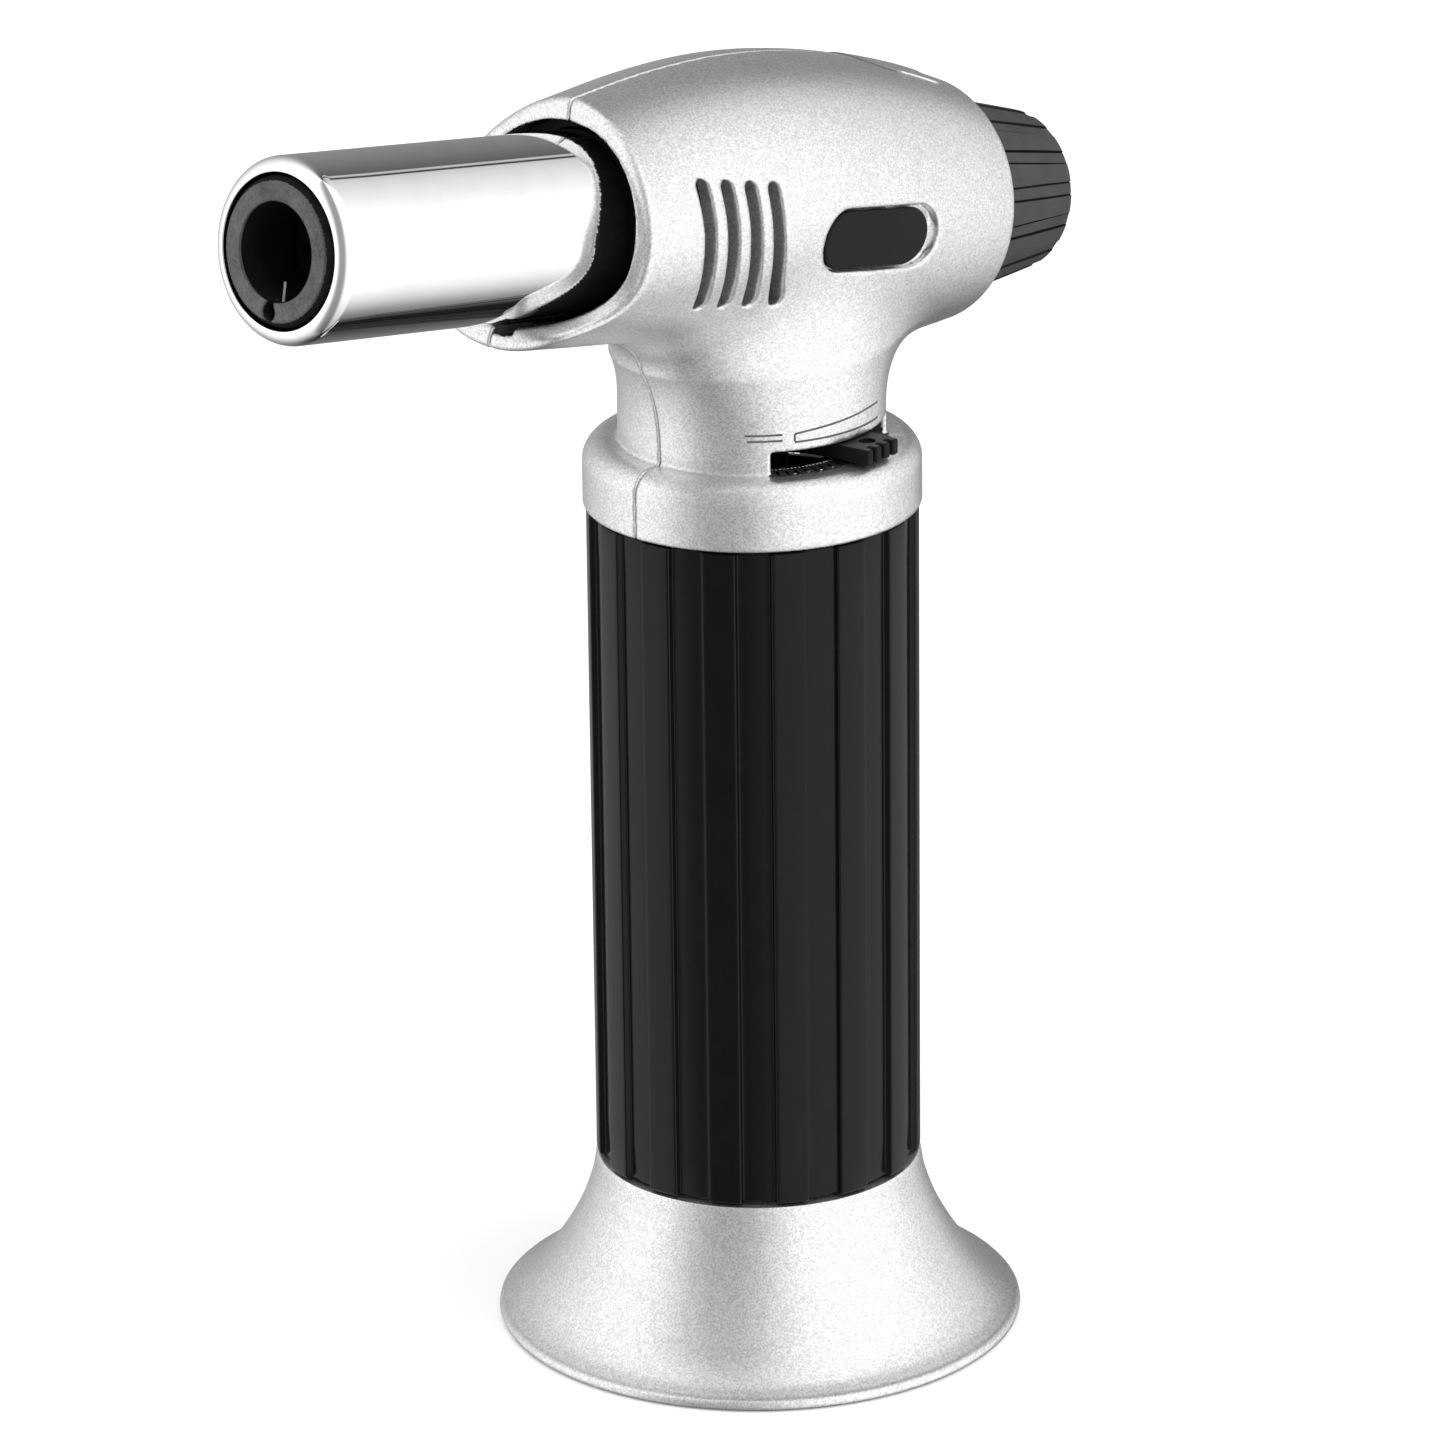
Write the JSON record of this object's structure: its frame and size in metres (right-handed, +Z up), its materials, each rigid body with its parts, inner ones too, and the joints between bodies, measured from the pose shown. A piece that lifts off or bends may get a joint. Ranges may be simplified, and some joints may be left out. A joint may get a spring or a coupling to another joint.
{
  "type": "butane torch",
  "caption": "Refillable butane hand torch: ribbed round grip on a flared base, rounded silver head with chrome burner tube, rear ignition knob and flame lever.",
  "frame": {"origin": "bottom centre of the whole torch's bounding box, on the surface it stands on; the grip axis stands 15.6 mm behind it", "axes": "+X the way the flame points, +Y the torch's left side, with the flame lever, +Z up along the grip"},
  "size_m": [0.1336, 0.068, 0.1724],
  "materials": {
    "silver_paint": "silver metallic paint with a fine flake, satin",
    "chrome": "bright chrome plate",
    "steel": "dull grey steel",
    "brass": "turned brass",
    "black_gloss": "gloss black moulding",
    "black_satin": "satin dark grey moulding",
    "black_matte": "matte black moulding",
    "grey_plastic": "mid grey engineering plastic",
    "tank_plastic": "translucent grey tank moulding",
    "ceramic": "off-white unglazed ceramic",
    "rubber": "black rubber"
  },
  "bodies": {
    "torch": {"head_shell_left": "silver_paint", "head_shell_right": "silver_paint", "shell_screw_1": "steel", "shell_screw_2": "steel", "shell_screw_3": "steel", "badge_left": "black_gloss", "badge_right": "black_gloss", "burner_tube": "chrome", "mouth_liner": "black_matte", "burner_holder": "grey_plastic", "burner_ring": "steel", "flame_disc": "steel", "mixing_tube": "brass", "burner_socket": "steel", "jet_nozzle": "brass", "electrode_sleeve": "ceramic", "electrode": "steel", "ignition_wire": "rubber", "piezo_body": "black_satin", "gas_valve": "brass", "lever_pin": "steel", "gas_hose": "rubber", "detent_arc": "black_matte", "grip_sleeve": "black_gloss", "tank_body": "tank_plastic", "tank_cap": "grey_plastic", "tank_seal": "rubber", "fill_valve": "brass", "fill_seal": "rubber", "base_stand": "silver_paint"},
    "plunger": {"piezo_plunger": "grey_plastic"},
    "knob": {"ignition_knob": "black_satin"},
    "lever": {"valve_lever": "steel"},
    "stem": {"valve_stem": "brass", "valve_spring": "steel"},
    "flame_adjuster": {"flame_lever": "black_satin"},
    "filler": {"fill_stem": "brass", "fill_spring": "steel"}
  },
  "joints": [
    {"name": "ignition_press", "type": "slide", "parent": "torch", "child": "plunger", "axis": [0.989, 0, 0.1482], "range_m": [0, 0.0045], "stiffness_N_per_m": 2500, "springref_m": -0.001},
    {"name": "knob_lock", "type": "hinge", "parent": "plunger", "child": "knob", "pos_m": [-0.0574, 0, 0.1416], "axis": [0.989, 0, 0.1482], "range_deg": [0, 30]},
    {"name": "valve_lever_tilt", "type": "hinge", "parent": "torch", "child": "lever", "pos_m": [-0.0091, 0, 0.127], "axis": [0, 1, 0], "range_deg": [0, 12.5]},
    {"name": "valve_stem_lift", "type": "slide", "parent": "torch", "child": "stem", "axis": [0, 0, 1], "range_m": [0, 0.0016], "deforming": ["valve_spring"]},
    {"name": "flame_adjust", "type": "hinge", "parent": "torch", "child": "flame_adjuster", "pos_m": [-0.0156, 0, 0.1208], "axis": [0, 0, 1], "range_deg": [-29.5, 20]},
    {"name": "fill_stem_press", "type": "slide", "parent": "torch", "child": "filler", "axis": [0, 0, 1], "range_m": [0, 0.0012], "stiffness_N_per_m": 1200, "springref_m": -0.001, "deforming": ["fill_spring"]}
  ],
  "couplings": [
    {"joint": "valve_lever_tilt", "follows": "ignition_press", "rad_per_m": 46.5},
    {"joint": "valve_stem_lift", "follows": "ignition_press", "ratio": 0.3333}
  ]
}
